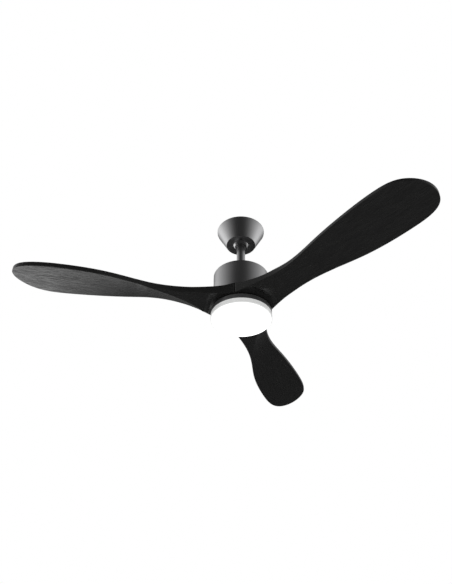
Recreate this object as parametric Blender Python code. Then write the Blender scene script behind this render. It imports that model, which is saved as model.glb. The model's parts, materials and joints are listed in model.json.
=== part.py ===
"""Three-blade ceiling fan with a round opal light, hung from a ball-and-socket ceiling bracket.

The frame's origin is the middle of the bracket's top face, which lies on the ceiling, and +Z
points up, so the whole fan hangs below Z = 0. Sizes are in millimetres and become metres in the
helper functions. Four bodies move on each other: the fixed ceiling mount, the stem that swings
in the hanger ball, the rotor with its blades, and the shade that twists off for service.
"""
from math import atan2, cos, hypot, pi, radians, sin, sqrt

import bmesh
import bpy
import numpy as np
from mathutils import Matrix, Vector

MM = 0.001
GAP = 0.3                      # clearance between pieces that touch
SHELL = 48                     # segments of a large turned shell
ROUND = 30                     # segments of an inner turned piece
SLIM = 18                      # segments of a sleeve or a ring on the shaft
SMALL = 10                     # segments of a pin, a screw or its hole

# ceiling bracket and canopy
CANOPY_TOP_R = 76.5
CANOPY_BOTTOM_R = 46.9
CANOPY_TOP_Z = -0.5
CANOPY_RIM_Z = -3.2            # the short upright rim ends here and the cone starts
CANOPY_BOTTOM_Z = -58.5
CANOPY_WALL = 1.5
CANOPY_HOLE_R = 25.6
CANOPY_SCREW_X = (-8.5, 8.5)
CANOPY_SCREW_Z = -12.5
STRAP_HALF_WIDTH = 15.0
STRAP_LEG = 38.0               # outer face of each leg, from the centre
STRAP_T = 2.0
SOCKET_R = 28.2                # hole that the hanger ball sits in
SOCKET_OUTER_R = 38.0
SOCKET_TOP_Z = -52.0
SLOT_SPACING = 88.9            # two slots for an octagonal junction box
SLOT_HALF_WIDTH = 2.6
SLOT_LENGTH = 9.0

# hanger ball and rod
BALL_R = 30.0
BALL_Z = -40.5                 # centre of the ball, on the tilt axis
BALL_TOP_Z = -25.0
BALL_BOTTOM_Z = -63.7
ROD_R = 13.35                  # three-quarter-inch pipe
ROD_INNER_R = 11.35
ROD_TOP_Z = -26.0
ROD_BOTTOM_Z = -178.2
BALL_PIN_Z = -33.0
CLEVIS_Z = -168.0

# yoke, cover and motor shaft
YOKE_R = 20.0
YOKE_TOP_Z = -155.0
FLANGE_R = 30.0
FLANGE_Z = -193.6
SHAFT_R = 10.0
SHAFT_INNER_R = 6.5
SHAFT_TOP_Z = -182.6
SHAFT_BOTTOM_Z = -334.5

# motor housing
HOUSING_R = 85.3
HOUSING_TOP_Z = -191.7
HOUSING_BOTTOM_Z = -277.6
HOUSING_WALL = 1.6
HOUSING_EDGE = 2.0             # rounding of the top rim

# motor
ROTOR_R = 75.7
BEARING_TOP_Z = -209.0
BEARING_BOTTOM_Z = -265.5
BEARING_W = 9.0
BEARING_R = 21.0
MAGNET_R = 69.2
STATOR_R = 63.4
STATOR_TOP_Z = -229.0
STATOR_BOTTOM_Z = -249.0
TEETH = 12

# blades
BLADE_COUNT = 3
FIRST_BLADE_DEG = 74.45        # where the first blade points, from +X towards +Y
BLADE_TOP_Z = -278.4
BLADE_ROOT_Z = -312.5          # underside at the hub
HUB_SEAM_R = 85.0              # neighbouring blade roots meet along the hub out to here
HUB_SEAM_DEG = 2.0             # a blade's seams lie this far round from midway to its neighbours
HUB_BORE_R = 24.0
HUB_FLAT_R = 70.0              # flat on both sides out to here, then eased over the next stretch
HUB_EASE = 25.0
BOLT_R = 46.0
BOLT_DEG = 30.0                # a blade's two screws lie this far each side of its middle

# light
LIGHT_R = 91.6
PAN_TOP_Z = -323.2
PAN_BOTTOM_Z = -337.8
SHADE_BOTTOM_Z = -353.9
LUG_DEG = 14.0
TAB_TURNS = (74.45, 194.45, 314.45)

TIP_START = 560.0              # the outline starts to round off here
TIP_END = 670.0
TIP_HALF_CHORD = 50.0

# Outline of a blade from above, leading edge from root to tip, then back along the trailing edge.
OUTLINE = [
    (45.0, -72.1), (133.0, -44.8), (229.6, -34.0), (337.7, -53.1), (446.7, -70.8),
    (544.5, -79.2), (614.5, -66.8), (660.0, -19.4), (660.4, 31.6), (615.6, 61.9),
    (521.8, 72.4), (402.5, 67.9), (277.9, 47.1), (157.4, 48.6), (39.9, 75.1),
]
# Heights along the blade: station, then underside and top at the leading edge, then at the trailing
# edge. The underside is level out to the crease and twisted up towards the leading edge beyond it.
HEIGHTS = [
    (40.0, -312.5, -278.4, -312.5, -278.4),
    (85.0, -307.9, -282.8, -313.3, -286.8),
    (120.0, -301.0, -284.0, -313.4, -290.1),
    (180.0, -296.0, -279.6, -315.2, -295.1),
    (300.0, -288.9, -279.3, -314.8, -299.4),
    (450.0, -289.2, -279.6, -313.7, -299.5),
    (670.0, -291.5, -280.4, -313.3, -300.0),
]
# The crease on the underside runs from the leading edge near the hub out to the trailing edge.
CREASE = [(96.0, -50.0), (110.0, -37.0), (148.0, -10.0), (198.0, 13.0), (266.0, 37.0), (320.0, 53.0)]
CREASE_Z = -315.7

PAINT = "graphite_paint"
WOOD = "black_wood"
STEEL = "zinc_steel"
BOLT_STEEL = "screw_steel"
ALLOY = "cast_alloy"
COPPER = "copper_wire"
LAMINATION = "core_steel"
MAGNET = "magnet_ferrite"
RUBBER = "rubber"
OPAL = "opal_acrylic"
PLASTIC = "black_plastic"
CABLE = "cable_sheath"
BOARD = "led_board"
FINISHES = {                   # colour, roughness, metallic
    PAINT: ((0.045, 0.045, 0.048), 0.38, 0.85),
    WOOD: ((0.010, 0.010, 0.010), 0.45, 0.0),
    STEEL: ((0.62, 0.63, 0.64), 0.35, 1.0),
    BOLT_STEEL: ((0.30, 0.30, 0.31), 0.32, 1.0),
    ALLOY: ((0.55, 0.55, 0.56), 0.45, 1.0),
    COPPER: ((0.72, 0.30, 0.14), 0.35, 1.0),
    LAMINATION: ((0.35, 0.35, 0.37), 0.50, 1.0),
    MAGNET: ((0.06, 0.06, 0.065), 0.55, 0.3),
    RUBBER: ((0.02, 0.02, 0.02), 0.80, 0.0),
    OPAL: ((0.93, 0.93, 0.91), 0.30, 0.0),
    PLASTIC: ((0.03, 0.03, 0.03), 0.50, 0.0),
    CABLE: ((0.05, 0.05, 0.055), 0.60, 0.0),
    BOARD: ((0.85, 0.86, 0.85), 0.50, 0.0),
}


# ---------------------------------------------------------------- helpers
def make_material(name):
    colour, roughness, metallic = FINISHES[name]
    made = bpy.data.materials.new(name)
    made.use_nodes = True
    shader = made.node_tree.nodes["Principled BSDF"]
    shader.inputs["Base Color"].default_value = (*colour, 1.0)
    shader.inputs["Roughness"].default_value = roughness
    shader.inputs["Metallic"].default_value = metallic
    return made


def make_object(name, bm, finish=None, parent=None):
    """Turn a bmesh drawn in millimetres into an object in metres."""
    bmesh.ops.scale(bm, vec=(MM, MM, MM), verts=bm.verts)
    bmesh.ops.recalc_face_normals(bm, faces=bm.faces)
    mesh = bpy.data.meshes.new(name)
    bm.to_mesh(mesh)
    bm.free()
    mesh.shade_smooth()
    mesh.set_sharp_from_angle(angle=radians(35))
    made = bpy.data.objects.new(name, mesh)
    bpy.context.scene.collection.objects.link(made)
    if finish:
        mesh.materials.append(materials[finish])
    if parent:
        made.parent = parent
        made.matrix_parent_inverse = Matrix.Translation(parent.location).inverted()
    return made


def empty(name, z, parent=None):
    made = bpy.data.objects.new(name, None)
    bpy.context.scene.collection.objects.link(made)
    made.location = (0, 0, z * MM)
    if parent:
        made.parent = parent
        made.matrix_parent_inverse = Matrix.Translation(parent.location).inverted()
    return made


def turned_bmesh(profile, segments):
    """Spin a profile of (radius, z) about Z. It is a closed ring unless it starts on the axis."""
    bm = bmesh.new()
    verts = [bm.verts.new((r, 0, z)) for r, z in profile]
    last = len(verts) - 1 if profile[0][0] == 0 else len(verts)
    edges = [bm.edges.new((verts[i], verts[(i + 1) % len(verts)])) for i in range(last)]
    bmesh.ops.spin(bm, geom=verts + edges, cent=(0, 0, 0), axis=(0, 0, 1), angle=2 * pi,
                   steps=segments, use_merge=True, use_duplicate=False)
    bmesh.ops.remove_doubles(bm, verts=bm.verts, dist=1e-4)
    return bm


def turned(name, finish, parent, profile, segments=ROUND):
    return make_object(name, turned_bmesh(profile, segments), finish, parent)


def prism_bmesh(outline, low, high):
    """Extrude an outline of (x, y) from one height to another."""
    bm = bmesh.new()
    base = bm.faces.new([bm.verts.new((x, y, low)) for x, y in outline])
    raised = bmesh.ops.extrude_face_region(bm, geom=[base])["geom"]
    bmesh.ops.translate(bm, vec=(0, 0, high - low),
                        verts=[v for v in raised if isinstance(v, bmesh.types.BMVert)])
    return bm


def block_bmesh(low, high):
    (x0, y0, z0), (x1, y1, z1) = low, high
    return prism_bmesh([(x0, y0), (x1, y0), (x1, y1), (x0, y1)], z0, z1)


def arc(radius, start_deg, end_deg, steps):
    turns = [radians(start_deg + (end_deg - start_deg) * i / steps) for i in range(steps + 1)]
    return [(radius * cos(a), radius * sin(a)) for a in turns]


def sector(inner, outer, middle_deg, width_deg, steps=4):
    start, end = middle_deg - width_deg / 2, middle_deg + width_deg / 2
    return arc(outer, start, end, steps) + arc(inner, end, start, steps)


def rod_bmesh(radius, length, centre, axis, segments=SMALL):
    """A cylinder about any axis, centred on a point."""
    bm = bmesh.new()
    turn = Vector((0, 0, 1)).rotation_difference(Vector(axis)).to_matrix().to_4x4()
    bmesh.ops.create_cone(bm, cap_ends=True, segments=segments, radius1=radius, radius2=radius,
                          depth=length, matrix=Matrix.Translation(centre) @ turn)
    return bm


def combine(target, bm, operation):
    """Cut or join a shape drawn in millimetres; the operand stays hidden beside its object."""
    tool = make_object(f"tool_{len(bpy.data.objects)}", bm)
    tool.hide_render = True
    tool.display_type = "WIRE"
    change = target.modifiers.new(operation.lower(), "BOOLEAN")
    change.operation = operation
    change.object = tool


def cut(target, bm):
    combine(target, bm, "DIFFERENCE")


def join(target, bm):
    combine(target, bm, "UNION")


def place(bm, location, axis):
    """Move a shape drawn up from the origin so that its Z axis follows the given one."""
    turn = Vector((0, 0, 1)).rotation_difference(Vector(axis)).to_matrix().to_4x4()
    bmesh.ops.transform(bm, matrix=Matrix.Translation(location) @ turn, verts=bm.verts)
    return bm


def screw(name, parent, location, axis, head_r, head_h, shank_r, length):
    """A screw whose head starts at the location and rises along the axis."""
    profile = [(0, -length), (shank_r, -length), (shank_r, 0), (head_r, 0),
               (head_r * 0.8, head_h), (0, head_h)]
    bm = place(turned_bmesh(profile, SMALL), location, axis)
    return make_object(name, bm, BOLT_STEEL, parent)


def around(radius, turn_deg):
    return radius * cos(radians(turn_deg)), radius * sin(radians(turn_deg))


def pipe(name, finish, parent, points, radius, resolution=1):
    """A wire along a smooth route: a curve with a round bevel and filled ends."""
    curve = bpy.data.curves.new(name, "CURVE")
    curve.dimensions = "3D"
    curve.bevel_depth = radius * MM
    curve.bevel_resolution = resolution
    curve.use_fill_caps = True
    route = curve.splines.new("POLY")
    route.points.add(len(points) - 1)
    for slot, point in zip(route.points, points):
        slot.co = (*(Vector(point) * MM), 1.0)
    made = bpy.data.objects.new(name, curve)
    bpy.context.scene.collection.objects.link(made)
    curve.materials.append(materials[finish])
    made.parent = parent
    made.matrix_parent_inverse = Matrix.Translation(parent.location).inverted()
    return made


def smooth_route(points, count):
    return [tuple(row) for row in spline(points, count)]


def spline(points, count):
    """Cubic spline through evenly weighted points, with smooth ends."""
    at = np.array(points, dtype=float)
    n = len(at)
    system = np.zeros((n, n))
    wanted = np.zeros_like(at)
    for i in range(1, n - 1):
        system[i, i - 1:i + 2] = (1, 4, 1)
        wanted[i] = 6 * (at[i - 1] - 2 * at[i] + at[i + 1])
    system[0, :3] = (1, -2, 1)
    system[-1, -3:] = (1, -2, 1)
    bend = np.linalg.solve(system, wanted)
    steps = np.linspace(0, n - 1, count)
    i = np.minimum(steps.astype(int), n - 2)
    t = (steps - i)[:, None]
    a, b, ma, mb = at[i], at[i + 1], bend[i], bend[i + 1]
    return (a * (1 - t) + b * t
            + ((1 - t) ** 3 - (1 - t)) * ma / 6 + (t ** 3 - t) * mb / 6)


def eased(stations, values, x):
    """Read a value between stations with the slope eased to nothing at turning points."""
    at, v = np.array(stations, dtype=float), np.array(values, dtype=float)
    run = np.diff(at)
    rise = np.diff(v) / run
    slope = np.zeros_like(v)
    same = rise[:-1] * rise[1:] > 0
    slope[1:-1][same] = 2 * rise[:-1][same] * rise[1:][same] / (rise[:-1] + rise[1:])[same]
    slope[0], slope[-1] = rise[0], rise[-1]
    x = min(max(x, at[0]), at[-1])
    i = min(int(np.searchsorted(at, x, side="right")) - 1, len(at) - 2)
    t = (x - at[i]) / run[i]
    return ((1 + 2 * t) * (1 - t) ** 2 * v[i] + t * (1 - t) ** 2 * run[i] * slope[i]
            + t * t * (3 - 2 * t) * v[i + 1] + t * t * (t - 1) * run[i] * slope[i + 1])


# ---------------------------------------------------------------- ceiling mount
def canopy_radius(z):
    """Outer radius of the canopy's cone at a height."""
    along = (CANOPY_RIM_Z - z) / (CANOPY_RIM_Z - CANOPY_BOTTOM_Z)
    return CANOPY_TOP_R + (CANOPY_BOTTOM_R - CANOPY_TOP_R) * along


def cone_out():
    """Outward direction of the canopy's wall on its +Y side."""
    slope = (CANOPY_TOP_R - CANOPY_BOTTOM_R) / (CANOPY_RIM_Z - CANOPY_BOTTOM_Z)
    return Vector((0, 1, -slope)).normalized()


def canopy_screw_seat(x):
    """Where a canopy screw passes the outer face of the cone."""
    wall_r = canopy_radius(CANOPY_SCREW_Z)
    return Vector((x, sqrt(wall_r ** 2 - x ** 2), CANOPY_SCREW_Z))


def build_bracket():
    """A strap bent to a box, with a socket ring below, a hook on -Y and a screw ear on +Y."""
    leg, t, socket = STRAP_LEG, STRAP_T, SOCKET_TOP_Z
    ear_top, ear_low, ear_drop = 72.6, 63.0, -18.0
    side = [(-61.5, 0), (ear_top, 0), (ear_low, ear_drop), (ear_low - 2.2, ear_drop),
            (ear_top - 3.3, -t), (leg, -t), (leg, socket - t), (-leg, socket - t), (-leg, -t),
            (-60.2, -t), (-62.2, -5.2), (-70.5, -5.2), (-70.5, -3.2), (-63.5, -3.2)]
    strap = prism_bmesh([(y, z) for y, z in side], -STRAP_HALF_WIDTH, STRAP_HALF_WIDTH)
    # the outline is drawn as (Y, Z) and extruded along X
    swap = Matrix(((0, 0, 1, 0), (1, 0, 0, 0), (0, 1, 0, 0), (0, 0, 0, 1)))
    bmesh.ops.transform(strap, matrix=swap, verts=strap.verts)
    bracket = make_object("hanger_bracket", strap, STEEL, mount)
    join(bracket, turned_bmesh([(0, socket - t), (SOCKET_OUTER_R, socket - t),
                                (SOCKET_OUTER_R, socket), (0, socket)], ROUND))
    inside = leg - t
    cut(bracket, block_bmesh((-40, -inside, socket), (40, inside, -t)))
    cut(bracket, rod_bmesh(SOCKET_R, 20, (0, 0, socket), (0, 0, 1), ROUND))
    mouth = ROD_R + 1.5
    cut(bracket, block_bmesh((-50, -mouth, socket - 10), (0, mouth, socket + 10)))
    # the tab that keeps the ball from turning, inside the ball's groove
    join(bracket, block_bmesh((25.6, -2, socket - t), (SOCKET_R + 3, 2, socket)))
    for side_y in (-1, 1):
        y = side_y * SLOT_SPACING / 2
        reach = SLOT_LENGTH / 2 - SLOT_HALF_WIDTH
        slot = [(px, py + y + reach) for px, py in arc(SLOT_HALF_WIDTH, 0, 180, 6)]
        slot += [(px, py + y - reach) for px, py in arc(SLOT_HALF_WIDTH, 180, 360, 6)]
        cut(bracket, prism_bmesh(slot, -10, 10))
    for x in CANOPY_SCREW_X:
        cut(bracket, rod_bmesh(1.9, 24, canopy_screw_seat(x) - 6 * cone_out(), cone_out(), SMALL))
    return bracket


def build_canopy():
    low, top, wall = CANOPY_BOTTOM_Z, CANOPY_TOP_Z, CANOPY_WALL
    profile = [(CANOPY_TOP_R, top), (CANOPY_TOP_R, CANOPY_RIM_Z), (CANOPY_BOTTOM_R, low + 0.6),
               (CANOPY_BOTTOM_R - 0.6, low), (CANOPY_HOLE_R, low), (CANOPY_HOLE_R, low + wall),
               (CANOPY_BOTTOM_R - wall - 0.2, low + wall),
               (CANOPY_TOP_R - wall - 0.1, CANOPY_RIM_Z - 0.3), (CANOPY_TOP_R - wall, top)]
    canopy = turned("canopy", PAINT, mount, profile, SHELL)
    # the inner lip hooks over the bracket's joggled end
    join(canopy, block_bmesh((-8, -75.7, top - 2.3), (8, -66, top - 0.3)))
    # keyhole notches in the edge of the ball opening
    for turn_deg, width, depth in ((-90, 8.0, 5.0), (-22, 4.0, 3.0), (202, 4.0, 3.0)):
        notch = block_bmesh((CANOPY_HOLE_R - 5, -width / 2, low - 3),
                            (CANOPY_HOLE_R + depth, width / 2, low + 3))
        bmesh.ops.rotate(notch, matrix=Matrix.Rotation(radians(turn_deg), 3, "Z"),
                         verts=notch.verts)
        cut(canopy, notch)
    for number, x in enumerate(CANOPY_SCREW_X, 1):
        seat = canopy_screw_seat(x)
        cut(canopy, rod_bmesh(2.3, 20, seat, cone_out(), SMALL))
        out = cone_out()
        screw(f"canopy_screw_{number}", mount, seat + out * 0.6, out, 4.2, 2.0, 1.6, 10.0)


def build_wiring():
    box = block_bmesh((-24, -35.7, -15.3), (24, 35.7, -2.3))
    edges = [e for e in box.edges if abs(e.verts[0].co.z - e.verts[1].co.z) > 1]
    bmesh.ops.bevel(box, geom=edges, offset=2.0, segments=2, affect="EDGES", profile=0.5)
    make_object("receiver_box", box, PLASTIC, mount)
    block = block_bmesh((-13, -48, -24), (13, -38.3, -8))
    make_object("terminal_block", block, PLASTIC, mount)
    for x in (-8.0, 0.0, 8.0):
        cut(bpy.data.objects["terminal_block"], rod_bmesh(2.0, 12, (x, -48, -16), (0, 1, 0), SMALL))
    lead = [(24.3, -26, -9), (28.5, -27, -9), (31.5, -32, -10), (29, -39, -13), (22, -43, -15.5),
            (13.3, -43.5, -16)]
    pipe("receiver_lead", CABLE, mount, smooth_route(lead, 12), 1.6)


# ---------------------------------------------------------------- stem
def build_ball():
    top, low = BALL_TOP_Z - BALL_Z, BALL_BOTTOM_Z - BALL_Z
    bore = ROD_R + GAP
    start, end = atan2(low, sqrt(BALL_R ** 2 - low ** 2)), atan2(top, sqrt(BALL_R ** 2 - top ** 2))
    zones = 8
    turns = [start + (end - start) * i / zones for i in range(zones + 1)]
    skin = [(BALL_R * cos(a), BALL_Z + BALL_R * sin(a)) for a in turns]
    ball = turned("hanger_ball", PAINT, tilt,
                  [(bore, BALL_BOTTOM_Z)] + skin + [(bore, BALL_TOP_Z)])
    # the groove that rides on the bracket's tab as the stem swings
    groove = turned_bmesh([(27.8, -2.5), (34, -2.5), (34, 2.5), (27.8, 2.5)], ROUND)
    cut(ball, place(groove, (0, 0, BALL_Z), (0, 1, 0)))
    slot_r = 3.0 + GAP
    cut(ball, block_bmesh((-slot_r, -23, BALL_PIN_Z - slot_r), (slot_r, 23, BALL_TOP_Z + 5)))
    cut(ball, rod_bmesh(2.3, 24, (-24, 0, -47), (1, 0, 0), SMALL))
    make_object("ball_cross_pin", rod_bmesh(3.0, 44, (0, 0, BALL_PIN_Z), (0, 1, 0)),
                BOLT_STEEL, tilt)
    make_object("ball_set_screw", rod_bmesh(2.0, 11, (-19.6, 0, -47), (1, 0, 0), SMALL),
                BOLT_STEEL, tilt)


def build_rod():
    rod = turned("downrod", PAINT, tilt,
                 [(ROD_INNER_R, ROD_TOP_Z), (ROD_R, ROD_TOP_Z), (ROD_R, ROD_BOTTOM_Z),
                  (ROD_INNER_R, ROD_BOTTOM_Z)], ROUND)
    cut(rod, rod_bmesh(3.0 + GAP, 40, (0, 0, BALL_PIN_Z), (0, 1, 0)))
    cut(rod, rod_bmesh(3.0 + GAP, 40, (0, 0, CLEVIS_Z), (1, 0, 0)))
    bore = ROD_R + GAP
    outer = [(bore, -146.0), (22.0, -147.2), (28.5, -155.0), (31.0, -191.2)]
    inner = [(29.8, -191.2), (27.3, -155.6), (21.4, -148.5), (bore, -147.4)]
    turned("coupling_cover", PAINT, tilt, outer + inner)


def build_yoke():
    bore, shaft = ROD_R + GAP, SHAFT_R + GAP
    floor = ROD_BOTTOM_Z - GAP
    yoke = turned("yoke", ALLOY, tilt,
                  [(bore, YOKE_TOP_Z), (YOKE_R, YOKE_TOP_Z), (YOKE_R, FLANGE_Z),
                   (FLANGE_R, FLANGE_Z), (FLANGE_R, FLANGE_Z - 5.4), (shaft, FLANGE_Z - 5.4),
                   (shaft, SHAFT_TOP_Z + GAP), (SHAFT_INNER_R, SHAFT_TOP_Z + GAP),
                   (SHAFT_INNER_R, floor), (bore, floor)], ROUND)
    cut(yoke, rod_bmesh(3.0 + GAP, 60, (0, 0, CLEVIS_Z), (1, 0, 0)))
    pin = turned_bmesh([(0, -25), (2.6, -25), (3.0, -24.4), (3.0, 20.4), (4.8, 20.4),
                        (4.8, 22.6), (0, 22.6)], SMALL)
    pin = make_object("clevis_pin", place(pin, (0, 0, CLEVIS_Z), (1, 0, 0)), BOLT_STEEL, tilt)
    cut(pin, rod_bmesh(1.2, 10, (-22.4, 0, CLEVIS_Z), (0, 0, 1), SMALL))
    clip = [(-22.4, 0, CLEVIS_Z - 7), (-22.4, 0, CLEVIS_Z), (-22.4, 0, CLEVIS_Z + 5),
            (-22.4, 1.6, CLEVIS_Z + 7.5), (-22.4, 4, CLEVIS_Z + 7.5), (-22.4, 5.2, CLEVIS_Z + 5),
            (-22.4, 5.0, CLEVIS_Z), (-22.4, 4.4, CLEVIS_Z - 5)]
    pipe("cotter_pin", BOLT_STEEL, tilt, smooth_route(clip, 12), 0.8)
    for number, (z, tip) in enumerate(((-161.0, bore), (-189.0, shaft)), 1):
        cut(yoke, rod_bmesh(2.6, 16, (0, -18, z), (0, 1, 0), SMALL))
        length = YOKE_R - 0.5 - tip
        make_object(f"yoke_set_screw_{number}",
                    rod_bmesh(2.3, length, (0, -tip - length / 2, z), (0, 1, 0), SMALL),
                    BOLT_STEEL, tilt)


def build_housing():
    top, low, wall, edge = HOUSING_TOP_Z, HOUSING_BOTTOM_Z, HOUSING_WALL, HOUSING_EDGE
    rim = [(HOUSING_R - edge + edge * sin(a), top - edge + edge * cos(a))
           for a in (0, pi / 4, pi / 2)]
    inner_r = HOUSING_R - wall
    housing = turned("motor_housing", PAINT, tilt,
                     [(YOKE_R + 0.6, top)] + rim
                     + [(HOUSING_R, low), (inner_r, low), (inner_r, top - edge),
                        (inner_r - 1, top - wall), (YOKE_R + 0.6, top - wall)], SHELL)
    yoke = bpy.data.objects["yoke"]
    for number, turn_deg in enumerate((30, 150, 270), 1):
        x, y = around(25.2, turn_deg)
        cut(housing, rod_bmesh(2.1, 10, (x, y, top), (0, 0, 1), SMALL))
        cut(yoke, rod_bmesh(2.0, 12, (x, y, FLANGE_Z - 3), (0, 0, 1), SMALL))
        screw(f"housing_screw_{number}", tilt, (x, y, top + GAP), (0, 0, 1), 3.2, 2.0, 1.7, 7.0)


def build_shaft():
    turned("motor_shaft", BOLT_STEEL, tilt,
           [(SHAFT_INNER_R, SHAFT_TOP_Z), (SHAFT_R, SHAFT_TOP_Z), (SHAFT_R, SHAFT_BOTTOM_Z),
            (SHAFT_INNER_R, SHAFT_BOTTOM_Z)], SLIM)
    bore = SHAFT_R + GAP
    for label, top in (("top", BEARING_TOP_Z), ("bottom", BEARING_BOTTOM_Z + BEARING_W)):
        low = top - BEARING_W
        turned(f"bearing_inner_{label}", STEEL, tilt,
               [(bore, top), (14.0, top), (14.0, low), (bore, low)], SLIM)
        turned(f"bearing_outer_{label}", STEEL, spin,
               [(17.2, top), (BEARING_R, top), (BEARING_R, low), (17.2, low)], SLIM)
    turned("bearing_spacer", ALLOY, tilt,
           [(bore, BEARING_BOTTOM_Z - GAP), (14.0, BEARING_BOTTOM_Z - GAP),
            (14.0, PAN_TOP_Z + GAP), (bore, PAN_TOP_Z + GAP)], SLIM)


def tooth_outline(swell):
    """Stator outline: a hub with straight teeth that end in wider shoes."""
    hub_r, neck, shoe, shoe_r, outer_r = 32.0, 4.5, 11.5, 60.0, STATOR_R
    points = []
    for k in range(TEETH):
        middle = 360 * k / TEETH
        across = [(hypot(hub_r, neck) + swell, -neck - swell), (shoe_r - 1.0 - swell, -neck - swell),
                  (shoe_r - swell, -shoe - swell), (outer_r + swell, -shoe - swell)]
        half = across + [(outer_r + swell, 0.0)] + [(x, -y) for x, y in reversed(across)]
        c, s = cos(radians(middle)), sin(radians(middle))
        points += [(x * c - y * s, x * s + y * c) for x, y in half]
    # the shoes' corners are drawn back onto the bore's circle
    limit = outer_r + swell
    return [(x * min(1, limit / hypot(x, y)), y * min(1, limit / hypot(x, y))) for x, y in points]


def build_stator():
    core = make_object("stator_core", prism_bmesh(tooth_outline(0), STATOR_BOTTOM_Z, STATOR_TOP_Z),
                       LAMINATION, tilt)
    cut(core, rod_bmesh(SHAFT_R + GAP, 60, (0, 0, STATOR_TOP_Z), (0, 0, 1), SLIM))
    windings = turned("stator_windings", COPPER, tilt,
                      [(35.0, STATOR_TOP_Z + 3.5), (36.0, STATOR_TOP_Z + 4.5),
                       (56.0, STATOR_TOP_Z + 4.5), (57.5, STATOR_TOP_Z + 3.0),
                       (57.5, STATOR_BOTTOM_Z - 3.0), (56.0, STATOR_BOTTOM_Z - 4.5),
                       (36.0, STATOR_BOTTOM_Z - 4.5), (35.0, STATOR_BOTTOM_Z - 3.5)])
    cut(windings, prism_bmesh(tooth_outline(GAP), STATOR_BOTTOM_Z - GAP, STATOR_TOP_Z + GAP))


# ---------------------------------------------------------------- rotor
def build_rotor():
    lid_top, lid_low, floor = -203.5, -207.0, BLADE_TOP_Z + 1.5
    boss, seat = 25.0, BEARING_R + GAP
    lip = 18.5
    lid = turned("rotor_lid", ALLOY, spin,
                 [(lip, lid_top), (ROTOR_R, lid_top), (ROTOR_R, lid_low), (boss, lid_low),
                  (boss, -219.0), (seat, -219.0), (seat, BEARING_TOP_Z + GAP),
                  (lip, BEARING_TOP_Z + GAP)])
    wall_in = MAGNET_R + GAP
    cup = turned("rotor_cup", ALLOY, spin,
                 [(wall_in, lid_low - GAP), (ROTOR_R, lid_low - GAP), (ROTOR_R, floor),
                  (lip, floor), (lip, BEARING_BOTTOM_Z - GAP), (seat, BEARING_BOTTOM_Z - GAP),
                  (seat, -255.5), (boss, -255.5), (boss, floor + 4.4), (wall_in, floor + 4.4)])
    turned("magnet_ring", MAGNET, spin,
           [(64.2, -224.0), (MAGNET_R, -224.0), (MAGNET_R, -254.0), (64.2, -254.0)])
    for number, turn_deg in enumerate((14.45, 134.45, 254.45), 1):
        x, y = around(72.6, turn_deg)
        cut(lid, rod_bmesh(1.9, 10, (x, y, lid_top), (0, 0, 1), SMALL))
        cut(cup, rod_bmesh(1.9, 20, (x, y, lid_low), (0, 0, 1), SMALL))
        screw(f"rotor_screw_{number}", spin, (x, y, lid_top + GAP), (0, 0, 1), 2.9, 1.8, 1.6, 12.0)
    gasket = turned("hub_gasket", RUBBER, spin,
                    [(30, floor - GAP), (62, floor - GAP), (62, BLADE_TOP_Z + GAP),
                     (30, BLADE_TOP_Z + GAP)])
    plate_top = BLADE_ROOT_Z - 0.5
    plate = turned("blade_clamp_plate", STEEL, spin,
                   [(20, plate_top), (66, plate_top), (66, plate_top - 2), (20, plate_top - 2)])
    return cup, gasket, plate, plate_top - 2


def blade_edges():
    """Leading and trailing edges as rows of (x, y), root to tip."""
    rim = spline(OUTLINE, 400)
    tip = int(np.argmax(rim[:, 0]))
    return rim[:tip + 1], rim[tip:][::-1]


def height_at(column, x):
    return eased([row[0] for row in HEIGHTS], [row[column] for row in HEIGHTS], x)


def chord_edge(edge, x):
    """Where the twisted chord ends at a station. Past the tip's start the outline rounds off,
    but the surfaces go on as they were, so the chord narrows only a little."""
    y = np.interp(min(x, TIP_START), edge[:, 0], edge[:, 1])
    on = max(x - TIP_START, 0.0) / (TIP_END - TIP_START)
    return y + (np.sign(y) * TIP_HALF_CHORD - y) * on


def blade_heights(x, y, lead_y, trail_y):
    """Underside and top of the blade at a point."""
    across = (y - lead_y) / (trail_y - lead_y)
    lead_low, lead_top, trail_low, trail_top = (height_at(c, x) for c in (1, 2, 3, 4))
    level = lead_low + (trail_low - lead_low) * across
    if CREASE[0][0] < x < CREASE[-1][0]:
        crease_y = eased([p[0] for p in CREASE], [p[1] for p in CREASE], x)
        crease_y = min(max(crease_y, lead_y + 1), trail_y - 1)
        if y <= crease_y:
            low = lead_low + (CREASE_Z - lead_low) * (y - lead_y) / (crease_y - lead_y)
        else:
            low = CREASE_Z + (trail_low - CREASE_Z) * (y - crease_y) / (trail_y - crease_y)
        fade = min(1, (x - CREASE[0][0]) / 14, (CREASE[-1][0] - x) / 30)
        level += (low - level) * fade
    # the hub itself is flat on both sides, so that the screws clamp it evenly
    leave = min(max((hypot(x, y) - HUB_FLAT_R) / HUB_EASE, 0.0), 1.0)
    leave = leave * leave * (3 - 2 * leave)
    top = lead_top + (trail_top - lead_top) * across
    return (BLADE_ROOT_Z + (level - BLADE_ROOT_Z) * leave,
            BLADE_TOP_Z + (top - BLADE_TOP_Z) * leave)


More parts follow.
